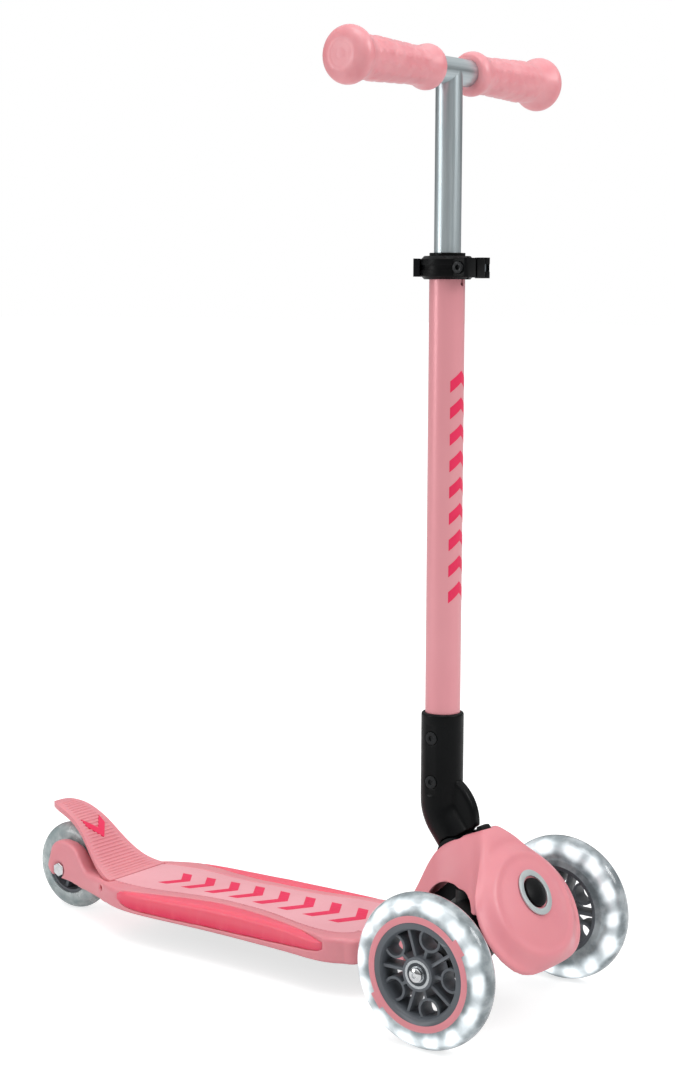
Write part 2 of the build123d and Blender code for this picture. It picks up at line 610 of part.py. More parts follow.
# ---- deck ------------------------------------------------------------------------------------------
DECK_WIDTHS = [(112, 53), (128, 59.5), (160, 59), (200, 57), (245, 56), (290, 57), (330, 58), (352, 56.5),
               (376, 49.5), (397, 40), (412, 34.5), (428, 30), (446, 26), (462, 24), (478, 22)]
PAD_WIDTHS = [(116, 34), (126, 42), (140, 44.5), (170, 41), (205, 33), (235, 30), (285, 30), (320, 35),
              (345, 37), (365, 35.5), (382, 33)]
INSERT_INNER = [(118, 61), (150, 54.5), (190, 45), (235, 39), (275, 39.5), (315, 46.5), (345, 52.3),
                (370, 55.5)]
INSERT_TOP = [(110, 80), (240, 80), (380, 80)]
INSERT_EDGE = [(114, 47), (124, 40.5), (145, 36.8), (190, 34.6), (240, 33.4), (290, 32.8), (330, 32.7),
               (347, 33.8), (357, 37), (366, 44)]
PAD_GAP = 0.5
PAD_DEPTH = 3.0
UNDERPLATE = 2.4
TONGUE_START = 50.0
SLOT_IN_FORK = 13.6
FORK_TOP = [(380, 46), (394, 44.2), (403, 43), (411, 44), (419, 47.5), (426.5, 54), (433, 61.3),
            (441.6, 66.3), (451, 68), (460, 67.3), (468, 62.5), (473, 52), (476.5, 42)]
FORK_BOTTOM = [(380, 29), (415, 29), (432, 30), (445, 31.5), (458, 32), (470, 33.5), (476.5, 41)]
BRAKE_WIDTHS = [(383, 36.8), (392, 34.4), (400, 31.2), (410, 27.8), (420, 24.4), (430, 21.2), (440, 18.9),
                (450, 17.3), (459, 16.3), (467, 14.6), (474, 11.8), (479.5, 8.2), (483, 4.6), (484.6, 1.6)]
BRAKE_TOP = [(383, 46.6), (392, 48.3), (400, 51.4), (410, 57.5), (420, 66), (430, 76), (440, 84.7),
             (450, 90.7), (460, 94.8), (470, 97.2), (480, 97.8), (486.5, 95.4)]
BRAKE_THICK = 5.0


def deck_solid():
    """The whole deck block before the pad, inserts and underside are cut out."""
    top = [(90, DECK_TOP_FRONT - 1), (120, DECK_TOP_FRONT), (250, DECK_TOP_FRONT),
           (DECK_REAR_Y, DECK_TOP_REAR), (430, DECK_TOP_REAR)]
    side = side_plate(top + [(430, DECK_BOTTOM), (90, DECK_BOTTOM)], 80)
    plan = plan_prism(DECK_WIDTHS, 0, 80)
    nose = extrude(Pos(0, 112) * Rectangle(106, 2 * (112 - DECK_FRONT_Y)), 80)
    nose = fillet(nose.edges().filter_by(Axis.Z).sort_by(Axis.Y)[:2], 10.9)
    block = (plan + nose) & side
    block = fillet([edge for edge in block.edges() if edge.bounding_box().min.Z > 40], 4.0)
    return fillet([edge for edge in block.edges() if edge.bounding_box().max.Z < 30], 2.5)


def rear_fork():
    """The two arms that carry the rear wheel."""
    return side_curve_plate(FORK_TOP, FORK_BOTTOM, 80) & plan_prism(DECK_WIDTHS, 0, 100)


def brake_space():
    """The space over and under the brake that the deck keeps clear."""
    low = [(y, z - BRAKE_THICK - 1.0 - max(0, y - BRAKE_PIN_Y) * 0.05) for y, z in BRAKE_TOP]
    above = side_plate([(382.4, 47.2 - BRAKE_THICK - 1.0)] + low + [(500, 95), (500, 160), (382.4, 160)], 80)
    widths = [(382.4, 38.8)] + [(y, width + 0.8) for y, width in BRAKE_WIDTHS[1:-1]] + [(500, 12.0)]
    return above & plan_prism(widths, 0, 200)


def deck_body():
    """Moulded deck with pockets for pad and inserts, ribs below, fork arms and brake lugs."""
    block = deck_solid() + rear_fork()
    block -= pad_prism()
    for insert in insert_prisms(0.0):
        block -= insert
    pocket = plan_prism([(y, width - 4.5) for y, width in DECK_WIDTHS[:9]], 0, DECK_TOP_REAR - 6)
    pocket -= Pos(0, 240, 20) * Box(5, 400, 100)
    for rib_y in (150, 190, 230, 270, 310):
        pocket -= Pos(0, rib_y, 20) * Box(200, 3, 100)
    pocket = pocket & (Pos(0, 235, DECK_BOTTOM + 52.5) * Box(200, 400, 100))
    for insert in insert_prisms(3.0):
        pocket -= insert
    for x, y in SCREWS:
        pocket -= rod(4.5, (x, y, 0), (0, 0, 1), 60)
    block -= pocket
    block -= underplate_blank(0.1)
    wheel_bay = rod(REAR_WHEEL_R + 5.5, (-SLOT_IN_FORK, WHEELBASE, REAR_WHEEL_R), (1, 0, 0), 2 * SLOT_IN_FORK)
    block -= wheel_bay
    block -= Pos(0, 460, 60) * Box(2 * SLOT_IN_FORK, 100, 120)
    block -= Pos(0, 399, 82) * Box(2 * 18.0, 34, 100)
    block -= brake_space()
    block -= rod(2.5, (-50, BRAKE_PIN_Y, BRAKE_PIN_Z), (1, 0, 0), 100)
    block -= rod(4.0, (-50, WHEELBASE, REAR_WHEEL_R), (1, 0, 0), 100)
    for side in (1, -1):
        block -= rod(7.4, (side * 21.0, WHEELBASE, REAR_WHEEL_R), (side, 0, 0), 20)
    block -= Pos(0, WHEELBASE + 3, REAR_WHEEL_R - 10) * Box(100, 8, 20)
    for x, y in SCREWS:
        block -= rod(1.8, (x, y, DECK_BOTTOM), (0, 0, 1), 9)
    return largest(block)


SCREWS = [(side * 30, y) for side in (1, -1) for y in (130, 250, 345)]


def underplate_blank(grow):
    """The flat plate under the deck, with its tongue forward under the steering frame."""
    widths = [(y, width - 4.7 + grow) for y, width in DECK_WIDTHS[:9]]
    plate = plan_prism(widths, DECK_BOTTOM, DECK_BOTTOM + UNDERPLATE)
    tongue_length = DECK_FRONT_Y + 20 - TONGUE_START
    tongue = Pos(0, TONGUE_START, DECK_BOTTOM) * Box(60 + 2 * grow, tongue_length, UNDERPLATE,
                                                     align=(MID, MIN, MIN))
    return plate + tongue


def pad_prism(gap=0.0):
    """The pocket that holds the foot pad, or the pad itself with a gap round it."""
    plan = plan_prism(PAD_WIDTHS, 0, 100, gap)
    nose = Pos(0, 113 + gap / 2, 50) * Box(56 - 2 * gap, 12 - gap, 100)
    plan = plan + fillet(nose.edges().filter_by(Axis.Z).sort_by(Axis.Y)[:2], 5)
    floor = side_plate([(90, DECK_TOP_FRONT - PAD_DEPTH), (250, DECK_TOP_FRONT - PAD_DEPTH),
                        (384, DECK_TOP_REAR - PAD_DEPTH + 0.2), (384, 100), (90, 100)], 80)
    return plan & floor


def insert_prisms(grow):
    """The spaces for the two lens-shaped side inserts."""
    inner = Spline([(width - grow, y) for y, width in INSERT_INNER])
    outer = Polyline([inner @ 0, (90, INSERT_INNER[0][0]), (90, INSERT_INNER[-1][0]), inner @ 1])
    lens = extrude(make_face(Curve() + [inner, outer]), 80)
    band = side_curve_plate(INSERT_TOP, [(y, z - grow) for y, z in INSERT_EDGE], 95)
    return both_sides(lens & band)


def side_insert():
    """One side insert: fills the notch in the deck's edge with a rounded outer face."""
    lens = insert_prisms(0.0)[0]
    block = lens & deck_solid()
    shave = Pos(62, 240, 57) * Rot(0, 40, 0) * Box(20, 400, 20)
    return largest(block - shave)


def deck_group():
    """Write the deck pieces."""
    save("deck_body", deck_body())
    save("deck_pad", largest(pad_prism(PAD_GAP) & deck_solid()))
    insert = side_insert()
    save("left_side_insert", insert)
    save("right_side_insert", mirror(insert, Plane.YZ))
    plate = underplate_blank(0.0)
    screws = []
    for x, y in SCREWS:
        plate -= rod(1.9, (x, y, 0), (0, 0, 1), 60)
        head = rod(3.4, (x, y, DECK_BOTTOM - 1.6), (0, 0, 1), 1.6)
        screws.append(head + rod(1.75, (x, y, DECK_BOTTOM), (0, 0, 1), 8.5))
    save("deck_underplate", plate)
    save("deck_screws", *screws)


# ---- rear wheel and brake ----------------------------------------------------------------------------
REAR_TYRE_HALF = 10.5
REAR_RIM_R = 25.0


def rear_wheel_group():
    """Write the rear wheel."""
    place = Plane(origin=(0, WHEELBASE, REAR_WHEEL_R), x_dir=(0, 1, 0), z_dir=(1, 0, 0))
    save("rear_tyre", place * tyre(REAR_WHEEL_R, REAR_TYRE_HALF, REAR_RIM_R))
    rim = ring(REAR_RIM_R, REAR_RIM_R - 3, (0, 0, -9), (0, 0, 1), 18)
    boss = extrude(Circle(HUB_BOSS_R), HUB_HALF + 2.5, both=True)
    spoke = Sketch()
    for number in range(SPOKES):
        spoke += Rot(0, 0, number * 360 / SPOKES) * Pos(12.5, 0) * Rectangle(11, 3.0, align=(MIN, MID))
    web = extrude(spoke & Circle(23.0), HUB_HALF - 2, both=True)
    save("rear_hub", place * (rim + boss + web - bearing_seats()))
    spacer_half = HUB_HALF + 2.5 - BEARING_W
    save("rear_bearings", place * bearing(spacer_half, 1), place * bearing(-spacer_half, -1))
    spacer = ring(6.5, BEARING_BORE_R + RUNNING, (0, 0, -spacer_half), (0, 0, 1), 2 * spacer_half)
    save("rear_bearing_spacer", place * spacer)
    shank = rod(AXLE_R, (-21, WHEELBASE, REAR_WHEEL_R), (1, 0, 0), 44)
    plane = Plane(origin=(-21, WHEELBASE, REAR_WHEEL_R), z_dir=(-1, 0, 0))
    save("rear_axle_bolt", shank + plane * extrude(RegularPolygon(6.5, 6), 3.2))
    nut = Plane(origin=(21, WHEELBASE, REAR_WHEEL_R), z_dir=(1, 0, 0)) * extrude(RegularPolygon(6.5, 6), 3.2)
    save("rear_axle_nut", nut - rod(AXLE_R, (0, WHEELBASE, REAR_WHEEL_R), (1, 0, 0), 40))
    washers = [ring(6.5, 4.0, (side * SLOT_IN_FORK, WHEELBASE, REAR_WHEEL_R), (-side, 0, 0), 2.2)
               for side in (1, -1)]
    save("rear_axle_washers", *washers)


def brake():
    """Foot brake: an S-shaped fender over the rear wheel with a hinge knuckle at its front."""
    low = [(y, z - BRAKE_THICK) for y, z in BRAKE_TOP]
    band = side_curve_plate(BRAKE_TOP, low, 60)
    plate = band & plan_prism(BRAKE_WIDTHS, 0, 200)
    knuckle = side_plate([(384, 44), (384, 38), (394, 36), (397, 46)], 17.4)
    knuckle += rod(5.5, (-17.4, BRAKE_PIN_Y, BRAKE_PIN_Z), (1, 0, 0), 34.8)
    body = plate + knuckle
    body -= rod(2.5 + RUNNING, (-40, BRAKE_PIN_Y, BRAKE_PIN_Z), (1, 0, 0), 80)
    return largest(body - brake_shoe())


def brake_shoe():
    """Friction shoe under the brake, curved to the tyre."""
    block = side_plate([(431, 68), (431, 76), (440, 83), (452, 88), (452, 80)], 9.0)
    return block - rod(REAR_WHEEL_R + 3.0, (-20, WHEELBASE, REAR_WHEEL_R), (1, 0, 0), 40)


def brake_group():
    """Write the brake, its shoe and its hinge pin."""
    save("foot_brake", brake())
    save("brake_shoe", largest(brake_shoe()))
    save("brake_hinge_pin", rod(2.5, (-28, BRAKE_PIN_Y, BRAKE_PIN_Z), (1, 0, 0), 56))


# ---- all pieces ----------------------------------------------------------------------------------
def main():
    """Write one STEP file for each node."""
    os.makedirs("parts", exist_ok=True)
    for side, name in ((1, "front_left"), (-1, "front_right")):
        front_wheel(side, name)
    truck_group()
    save("front_housing", front_housing())
    save("steering_frame", steering_frame())
    button_group()
    release_group()
    pivot_hardware()
    stem_group()
    handlebar_group()
    deck_group()
    rear_wheel_group()
    brake_group()


main()
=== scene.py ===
import json
import math

import bmesh
import bpy
import numpy as np
from mathutils import Matrix, Vector
from mathutils.bvhtree import BVHTree


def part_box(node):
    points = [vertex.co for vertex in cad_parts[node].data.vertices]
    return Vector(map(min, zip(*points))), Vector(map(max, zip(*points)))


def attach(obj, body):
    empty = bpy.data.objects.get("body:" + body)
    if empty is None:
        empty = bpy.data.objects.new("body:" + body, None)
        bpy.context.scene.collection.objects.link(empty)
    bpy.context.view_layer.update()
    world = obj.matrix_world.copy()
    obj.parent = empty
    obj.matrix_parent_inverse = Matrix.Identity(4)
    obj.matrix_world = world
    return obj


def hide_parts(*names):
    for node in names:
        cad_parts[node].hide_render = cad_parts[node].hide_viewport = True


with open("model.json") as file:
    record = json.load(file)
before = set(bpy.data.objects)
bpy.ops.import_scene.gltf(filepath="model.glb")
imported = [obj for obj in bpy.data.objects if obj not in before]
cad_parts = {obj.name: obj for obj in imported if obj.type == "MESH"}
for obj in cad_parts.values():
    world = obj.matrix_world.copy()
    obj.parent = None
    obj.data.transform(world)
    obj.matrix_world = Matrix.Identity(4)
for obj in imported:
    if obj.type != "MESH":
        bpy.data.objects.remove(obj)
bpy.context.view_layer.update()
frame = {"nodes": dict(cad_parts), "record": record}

MM = 0.001
NODES = frame["nodes"]
NODE_BODY = {node: body for body, nodes in frame["record"]["behaviour"]["bodies"].items() for node in nodes}
NODE_SLOT = {part["node"]: part["material_slot"] for part in frame["record"]["subparts"]}


def middle(node):
    """Centre of a CAD node's box."""
    low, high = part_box(node)
    return (Vector(low) + Vector(high)) / 2


WHEEL_CENTRE = middle("front_left_tyre")
WHEEL_R = (Vector(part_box("front_left_tyre")[1]) - WHEEL_CENTRE).z
STEM_AXIS = middle("lower_tube")
TUBE_R = (Vector(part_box("lower_tube")[1]) - STEM_AXIS).x
BAR = middle("handlebar_crossbar")
BAR_R = (Vector(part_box("handlebar_crossbar")[1]) - BAR).z


# ---- materials -----------------------------------------------------------------------------------
def srgb(red, green, blue):
    """An 8-bit display colour as linear RGBA."""
    def linear(value):
        value /= 255
        return value / 12.92 if value <= 0.04045 else ((value + 0.055) / 1.055) ** 2.4
    return (linear(red), linear(green), linear(blue), 1.0)


class Shader:
    """A node material round one Principled BSDF, in object coordinates in metres."""

    def __init__(self, name, **values):
        self.material = bpy.data.materials.new(name)
        self.material.use_nodes = True
        self.nodes = self.material.node_tree.nodes
        self.links = self.material.node_tree.links
        self.bsdf = self.nodes["Principled BSDF"]
        self.coords = self.nodes.new("ShaderNodeTexCoord").outputs["Object"]
        for key, value in values.items():
            self.bsdf.inputs[key.replace("_", " ")].default_value = value

    def node(self, kind, settings=(), **inputs):
        """A new node with settings, and inputs that are values or other nodes' outputs."""
        made = self.nodes.new(kind)
        for key, value in dict(settings).items():
            setattr(made, key, value)
        for key, value in inputs.items():
            socket = made.inputs[int(key[1:])] if key[0] == "i" and key[1:].isdigit() else made.inputs[key]
            if isinstance(value, bpy.types.NodeSocket):
                self.links.new(value, socket)
            else:
                socket.default_value = value
        return made

    def math(self, operation, first, second=0.0, third=0.0):
        """One arithmetic step."""
        return self.node("ShaderNodeMath", {"operation": operation}, i0=first, i1=second, i2=third).outputs[0]

    def noise(self, scale, detail=3.0, stretch=None, roughness=0.5):
        """Noise between 0 and 1, optionally stretched by a scale vector."""
        coords = self.coords
        if stretch:
            coords = self.node("ShaderNodeMapping", i0=coords, Scale=stretch).outputs[0]
        return self.node("ShaderNodeTexNoise", Vector=coords, Scale=scale, Detail=detail,
                         Roughness=roughness).outputs["Fac"]

    def mix(self, factor, first, second):
        """A colour between two colours."""
        made = self.node("ShaderNodeMix", {"data_type": "RGBA"})
        for socket, value in zip((made.inputs[0], made.inputs[6], made.inputs[7]), (factor, first, second)):
            if isinstance(value, bpy.types.NodeSocket):
                self.links.new(value, socket)
            else:
                socket.default_value = value
        return made.outputs[2]

    def ramp(self, value, low, high, out_low=0.0, out_high=1.0):
        """A clamped, smooth change of range."""
        limits = {"From Min": low, "From Max": high, "To Min": out_low, "To Max": out_high}
        return self.node("ShaderNodeMapRange", {"interpolation_type": "SMOOTHSTEP"}, Value=value,
                         **limits).outputs[0]

    def colour(self, socket):
        """Send a colour to the shader."""
        self.links.new(socket, self.bsdf.inputs["Base Color"])

    def rough(self, low, high, scale, detail=3.0, stretch=None):
        """Roughness that wanders between two values."""
        value = self.ramp(self.noise(scale, detail, stretch), 0.3, 0.7, low, high)
        self.links.new(value, self.bsdf.inputs["Roughness"])

    def bump(self, *layers):
        """Bump from (height, distance in metres) layers."""
        normal = None
        for height, distance in layers:
            made = self.node("ShaderNodeBump", Height=height, Distance=distance, Strength=1.0)
            if normal:
                self.links.new(normal, made.inputs["Normal"])
            normal = made.outputs[0]
        self.links.new(normal, self.bsdf.inputs["Normal"])

    def edges(self):
        """1 on worn outer edges, 0 elsewhere."""
        point = self.nodes.new("ShaderNodeNewGeometry").outputs["Pointiness"]
        return self.ramp(point, 0.53, 0.60)

    def shades(self, base, other, scale=18.0, worn=None, amount=0.35):
        """A base colour that drifts towards another, with lighter worn edges."""
        colour = self.mix(self.ramp(self.noise(scale, 4.0), 0.35, 0.75), base, other)
        if worn:
            colour = self.mix(self.math("MULTIPLY", self.edges(), amount), colour, worn)
        self.colour(colour)


def moulded(name, base, other, worn, rough=(0.34, 0.46), grain=0.00004, **values):
    """Injection-moulded plastic with a fine spark-eroded grain."""
    shader = Shader(name, **values)
    shader.shades(base, other, worn=worn)
    shader.rough(*rough, 140.0)
    shader.bump((shader.noise(2600.0, 2.0), grain), (shader.noise(60.0, 2.0), 0.00006))
    return shader.material


PINK = srgb(228, 143, 151)
PINK_DEEP = srgb(225, 137, 147)
PINK_PALE = srgb(238, 172, 177)
HOT_PINK = srgb(236, 34, 88)
BLACK = srgb(8, 9, 10)
BLACK_SOFT = srgb(14, 16, 17)
ANODISED = srgb(186, 198, 202)
ANODISED_PALE = srgb(200, 210, 213)


def pink_plastic():
    """Glossy-satin pink shell plastic."""
    return moulded("pink_plastic", PINK, PINK_DEEP, PINK_PALE, rough=(0.33, 0.42),
                   Coat_Weight=0.12, Coat_Roughness=0.3, Subsurface_Weight=0.06, Subsurface_Scale=0.004)


def pad_plastic():
    """Matte foot pad with a sand-textured grip surface."""
    shader = Shader("pad_plastic")
    shader.shades(srgb(236, 171, 179), srgb(231, 162, 170), worn=srgb(240, 182, 189))
    shader.rough(0.5, 0.62, 220.0)
    shader.bump((shader.noise(1500.0, 4.0), 0.00016), (shader.noise(70.0, 2.0), 0.00005))
    return shader.material


def coral_insert():
    """Soft coral rubber with painted shade, darker and deeper in colour towards the bottom edge, with faint
    long flow marks.
    """
    shader = Shader("coral_insert", Subsurface_Weight=0.25, Subsurface_Scale=0.006, Coat_Weight=0.1)
    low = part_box("left_side_insert")[0]
    height = shader.node("ShaderNodeSeparateXYZ", Vector=shader.coords).outputs[2]
    # painted shade: this ramp goes from the darker, deeper coral at the bottom edge to the lighter coral
    # above it
    depth = shader.ramp(height, low[2] + 0.001, low[2] + 0.012)
    flow = shader.noise(30.0, 5.0, (0.4, 3.0, 1.0), 0.6)
    colour = shader.mix(depth, srgb(232, 34, 84), srgb(240, 92, 114))
    shader.colour(shader.mix(shader.ramp(flow, 0.45, 0.8, 0.0, 0.4), colour, srgb(245, 116, 130)))
    shader.rough(0.36, 0.5, 60.0, 4.0, (0.4, 3.0, 1.0))
    shader.bump((shader.noise(700.0, 3.0), 0.00005), (flow, 0.0002))
    return shader.material


def black_plastic():
    """Glass-filled black nylon."""
    return moulded("black_plastic", BLACK, BLACK_SOFT, srgb(30, 33, 36), rough=(0.3, 0.4), grain=0.00005,
                   Specular_IOR_Level=0.12)


def hub_plastic():
    """Mid-grey satin hub plastic."""
    return moulded("hub_plastic", srgb(96, 101, 107), srgb(84, 89, 95), srgb(150, 155, 160),
                   rough=(0.38, 0.5))


def brushed(name, base, other, rough, stretch, metallic=0.9):
    """Anodised aluminium with fine draw lines along the tube."""
    shader = Shader(name, Metallic=metallic)
    lines = shader.noise(900.0, 3.0, stretch, 0.6)
    shader.colour(shader.mix(shader.ramp(lines, 0.3, 0.7), base, other))
    shader.rough(rough - 0.05, rough + 0.07, 300.0, 3.0, stretch)
    shader.bump((lines, 0.000012))
    return shader.material


def tube_paint():
    """Satin pink powder coat with a very fine orange peel."""
    shader = Shader("tube_paint", Coat_Weight=0.25, Coat_Roughness=0.22, Metallic=0.15)
    shader.shades(srgb(230, 146, 155), srgb(226, 137, 147), scale=9.0, worn=PINK_PALE)
    shader.rough(0.3, 0.38, 200.0)
    shader.bump((shader.noise(900.0, 2.0), 0.00003), (shader.noise(120.0, 2.0), 0.00005))
    return shader.material


def steel(name, base, rough, grain=0.00002, metallic=1.0):
    """Plated or polished steel with light handling marks."""
    shader = Shader(name, Metallic=metallic)
    shader.shades(base, tuple(0.8 * value for value in base[:3]) + (1.0,), scale=260.0)
    shader.rough(rough * 0.8, rough * 1.25, 500.0)
    shader.bump((shader.noise(1500.0, 2.0), grain))
    return shader.material


def grip_rubber():
    """Soft translucent pink rubber."""
    shader = Shader("grip_rubber", Subsurface_Weight=0.3, Subsurface_Scale=0.005, Coat_Weight=0.15,
                    Coat_Roughness=0.25)
    shader.bsdf.inputs["Subsurface Radius"].default_value = (1.0, 0.45, 0.4)
    cloud = shader.noise(55.0, 3.0)
    shader.colour(shader.mix(shader.ramp(cloud, 0.3, 0.7), srgb(228, 145, 152), srgb(235, 160, 166)))
    shader.rough(0.3, 0.42, 150.0)
    shader.bump((shader.noise(500.0, 3.0), 0.00004))
    return shader.material


def wheel_polar(shader, centre):
    """(radius, angle) round a wheel's axle, from object coordinates."""
    split = shader.node("ShaderNodeSeparateXYZ", Vector=shader.coords)
    across = shader.math("SUBTRACT", split.outputs[1], centre.y)
    up = shader.math("SUBTRACT", split.outputs[2], centre.z)
    squares = shader.math("ADD", shader.math("MULTIPLY", across, across), shader.math("MULTIPLY", up, up))
    return shader.math("SQRT", squares), shader.math("ARCTAN2", up, across)


LED_COUNT = 14


def lit_tyre():
    """Clear urethane with a band of soft white light from the lamps inside."""
    shader = Shader("lit_tyre", Transmission_Weight=0.3, IOR=1.45, Coat_Weight=0.6, Coat_Roughness=0.04)
    radius, angle = wheel_polar(shader, WHEEL_CENTRE)
    wander = shader.ramp(shader.noise(26.0, 3.0), 0.2, 0.8, -1.3, 1.3)
    wave = shader.math("COSINE", shader.math("ADD", shader.math("MULTIPLY", angle, LED_COUNT), wander))
    spots = shader.ramp(wave, -1.3, 0.8, 0.5, 1.0)
    sway = shader.math("MULTIPLY", shader.ramp(shader.noise(40.0, 2.0), 0.2, 0.8, -1.0, 1.0), WHEEL_R * 0.03)
    place = shader.math("ADD", radius, sway)
    band = shader.math("MULTIPLY", shader.ramp(place, WHEEL_R * 0.70, WHEEL_R * 0.87),
                       shader.ramp(place, WHEEL_R * 1.01, WHEEL_R * 0.91))
    glow = shader.math("MULTIPLY", spots, band)
    haze = shader.ramp(shader.noise(70.0, 4.0), 0.35, 0.75)
    shader.colour(shader.mix(haze, srgb(120, 130, 134), srgb(206, 214, 217)))
    shader.links.new(shader.mix(glow, srgb(186, 204, 212), srgb(250, 253, 255)),
                     shader.bsdf.inputs["Emission Color"])
    shader.links.new(shader.ramp(glow, 0.1, 0.95, 0.03, 0.95), shader.bsdf.inputs["Emission Strength"])
    shader.rough(0.06, 0.2, 90.0)
    shader.bump((shader.noise(300.0, 2.0), 0.00003))
    return shader.material


def bearing_faces():
    """Shielded bearing: bright rings inside and outside a dark shield."""
    shader = Shader("bearing_faces", Metallic=0.9)
    radius, _ = wheel_polar(shader, WHEEL_CENTRE)
    inner = shader.ramp(radius, 0.0062, 0.0065)
    outer = shader.ramp(radius, 0.0088, 0.0091)
    shield = shader.math("MULTIPLY", inner, shader.math("SUBTRACT", 1.0, outer))
    bright = shader.mix(shader.noise(300.0), srgb(176, 182, 186), srgb(206, 210, 212))
    shader.colour(shader.mix(shield, bright, srgb(74, 78, 82)))
    shader.rough(0.2, 0.32, 300.0)
    shader.bump((shader.math("SINE", shader.math("MULTIPLY", radius, 6000.0)), 0.00003))
    return shader.material


def clear_tyre():
    """Clear urethane with a grey cast, for the unlit rear wheel."""
    shader = Shader("clear_tyre", Transmission_Weight=0.35, IOR=1.45, Coat_Weight=0.3)
    haze = shader.ramp(shader.noise(90.0, 3.0), 0.3, 0.8)
    shader.colour(shader.mix(haze, srgb(160, 176, 178), srgb(222, 232, 232)))
    shader.rough(0.12, 0.28, 90.0)
    shader.bump((shader.noise(300.0, 2.0), 0.00003))
    return shader.material


def printed(name, base, other):
    """Printed ink with a slight mottle."""
    shader = Shader(name)
    shader.shades(base, other, scale=60.0)
    shader.rough(0.38, 0.5, 300.0)
    shader.bump((shader.noise(1800.0, 2.0), 0.00002))
    return shader.material


MATERIALS = {
    "pink_plastic": pink_plastic(),
    "pad": pad_plastic(),
    "coral_insert": coral_insert(),
    "black_plastic": black_plastic(),
    "steel": steel("zinc_steel", srgb(128, 136, 142), 0.34),
    "chrome": steel("polished_chrome", srgb(228, 230, 232), 0.12),
    "black_steel": steel("black_oxide_steel", srgb(24, 26, 28), 0.4, metallic=0.5),
    "rubber": moulded("black_rubber", srgb(24, 24, 25), srgb(34, 34, 35), srgb(50, 50, 50),
                      rough=(0.6, 0.75)),
    "bush_plastic": moulded("bush_plastic", srgb(214, 212, 204), srgb(200, 198, 190), srgb(226, 224, 218)),
    "silver_plastic": moulded("silver_plastic", srgb(196, 204, 204), srgb(186, 195, 196), srgb(226, 230, 230),
                              rough=(0.3, 0.4), Metallic=0.35),
    "clear_tyre": lit_tyre(),
    "light_ring": moulded("light_ring", srgb(214, 222, 226), srgb(200, 210, 214), srgb(240, 244, 246)),
    "grey_hub": hub_plastic(),
    "pink_tube": tube_paint(),
    "brushed_tube": brushed("anodised_tube", ANODISED, ANODISED_PALE, 0.34, (1.0, 1.0, 0.02)),
    "grip": grip_rubber(),
}
REAR_CLEAR = clear_tyre()
BEARING_FACES = bearing_faces()
CROSSBAR_METAL = brushed("anodised_crossbar", ANODISED, ANODISED_PALE, 0.34, (0.02, 1.0, 1.0))
PRINT_PINK = printed("printed_hot_pink", HOT_PINK, srgb(230, 26, 80))


# ---- piece helpers -------------------------------------------------------------------------------
def give(obj, material):
    """Make a material the object's only one."""
    obj.data.materials.clear()
    obj.data.materials.append(material)


def new_piece(name, mesh, body, slot, material=None):
    """Link a mesh as a piece that rides on a body and takes a material slot's finish."""
    obj = bpy.data.objects.new(name, mesh)
    bpy.context.scene.collection.objects.link(obj)
    give(obj, material or MATERIALS[slot])
    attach(obj, body)
    return obj


def mesh_from(name, vertices, faces):
    """A mesh from plain lists, with consistent outward normals."""
    mesh = bpy.data.meshes.new(name)
    mesh.from_pydata([tuple(point) for point in vertices], [], faces)
    work = bmesh.new()
    work.from_mesh(mesh)
    bmesh.ops.remove_doubles(work, verts=work.verts, dist=1e-7)
    bmesh.ops.recalc_face_normals(work, faces=work.faces)
    work.to_mesh(mesh)
    work.free()
    return mesh


def shade(mesh, angle):
    """Smooth shading, with edges sharper than the angle in degrees left crisp."""
    work = bmesh.new()
    work.from_mesh(mesh)
    limit = math.radians(angle)
    for face in work.faces:
        face.smooth = True
    for edge in work.edges:
        edge.smooth = len(edge.link_faces) == 2 and edge.calc_face_angle(0.0) < limit
    work.to_mesh(mesh)
    work.free()


def clean_copy(node):
    """A copy of a CAD node's mesh with its seams joined and its flat faces merged."""
    mesh = NODES[node].data.copy()
    work = bmesh.new()
    work.from_mesh(mesh)
    bmesh.ops.remove_doubles(work, verts=work.verts, dist=2e-6)
    bmesh.ops.dissolve_limit(work, angle_limit=math.radians(0.5), verts=work.verts, edges=work.edges)
    work.to_mesh(mesh)
    work.free()
    for name in [layer.name for layer in mesh.attributes if layer.name == "custom_normal"]:
        mesh.attributes.remove(mesh.attributes[name])
    return mesh


def applied(mesh, *modifiers):
    """The mesh after (type, settings) modifiers."""
    obj = bpy.data.objects.new("work", mesh)
    bpy.context.scene.collection.objects.link(obj)
    for kind, settings in modifiers:
        modifier = obj.modifiers.new(kind, kind)
        for key, value in settings.items():
            setattr(modifier, key, value)
    graph = bpy.context.evaluated_depsgraph_get()
    result = bpy.data.meshes.new_from_object(obj.evaluated_get(graph))
    bpy.data.objects.remove(obj)
    return result


EDGE_ANGLE = math.radians(38.0)
MELT_KEEP = 0.35


def finished(node, mesh, crisp_angle):
    """Put a mesh in the place of a CAD node, smooth except at edges sharper than an angle in degrees."""
    shade(mesh, crisp_angle)
    obj = new_piece(f"{node}_finish", mesh, NODE_BODY[node], NODE_SLOT[node])
    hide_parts(node)


def bevelled(node, width_mm, segments=3):
    """Round a CAD node's hard edges as moulding or machining leaves them."""
    bevel = ("BEVEL", {"width": width_mm * MM, "segments": segments, "limit_method": "ANGLE",
                       "angle_limit": EDGE_ANGLE, "use_clamp_overlap": True, "miter_outer": "MITER_ARC"})
    finished(node, applied(clean_copy(node), bevel), 34.0)


def voxels(size_mm):
    """A modifier that rebuilds a mesh from small even faces."""
    return "REMESH", {"mode": "VOXEL", "voxel_size": size_mm * MM}


def swollen(distance_mm):
    """A modifier that moves a surface outward, or inward if the distance is negative."""
    return "DISPLACE", {"strength": distance_mm * MM, "mid_level": 0.0}


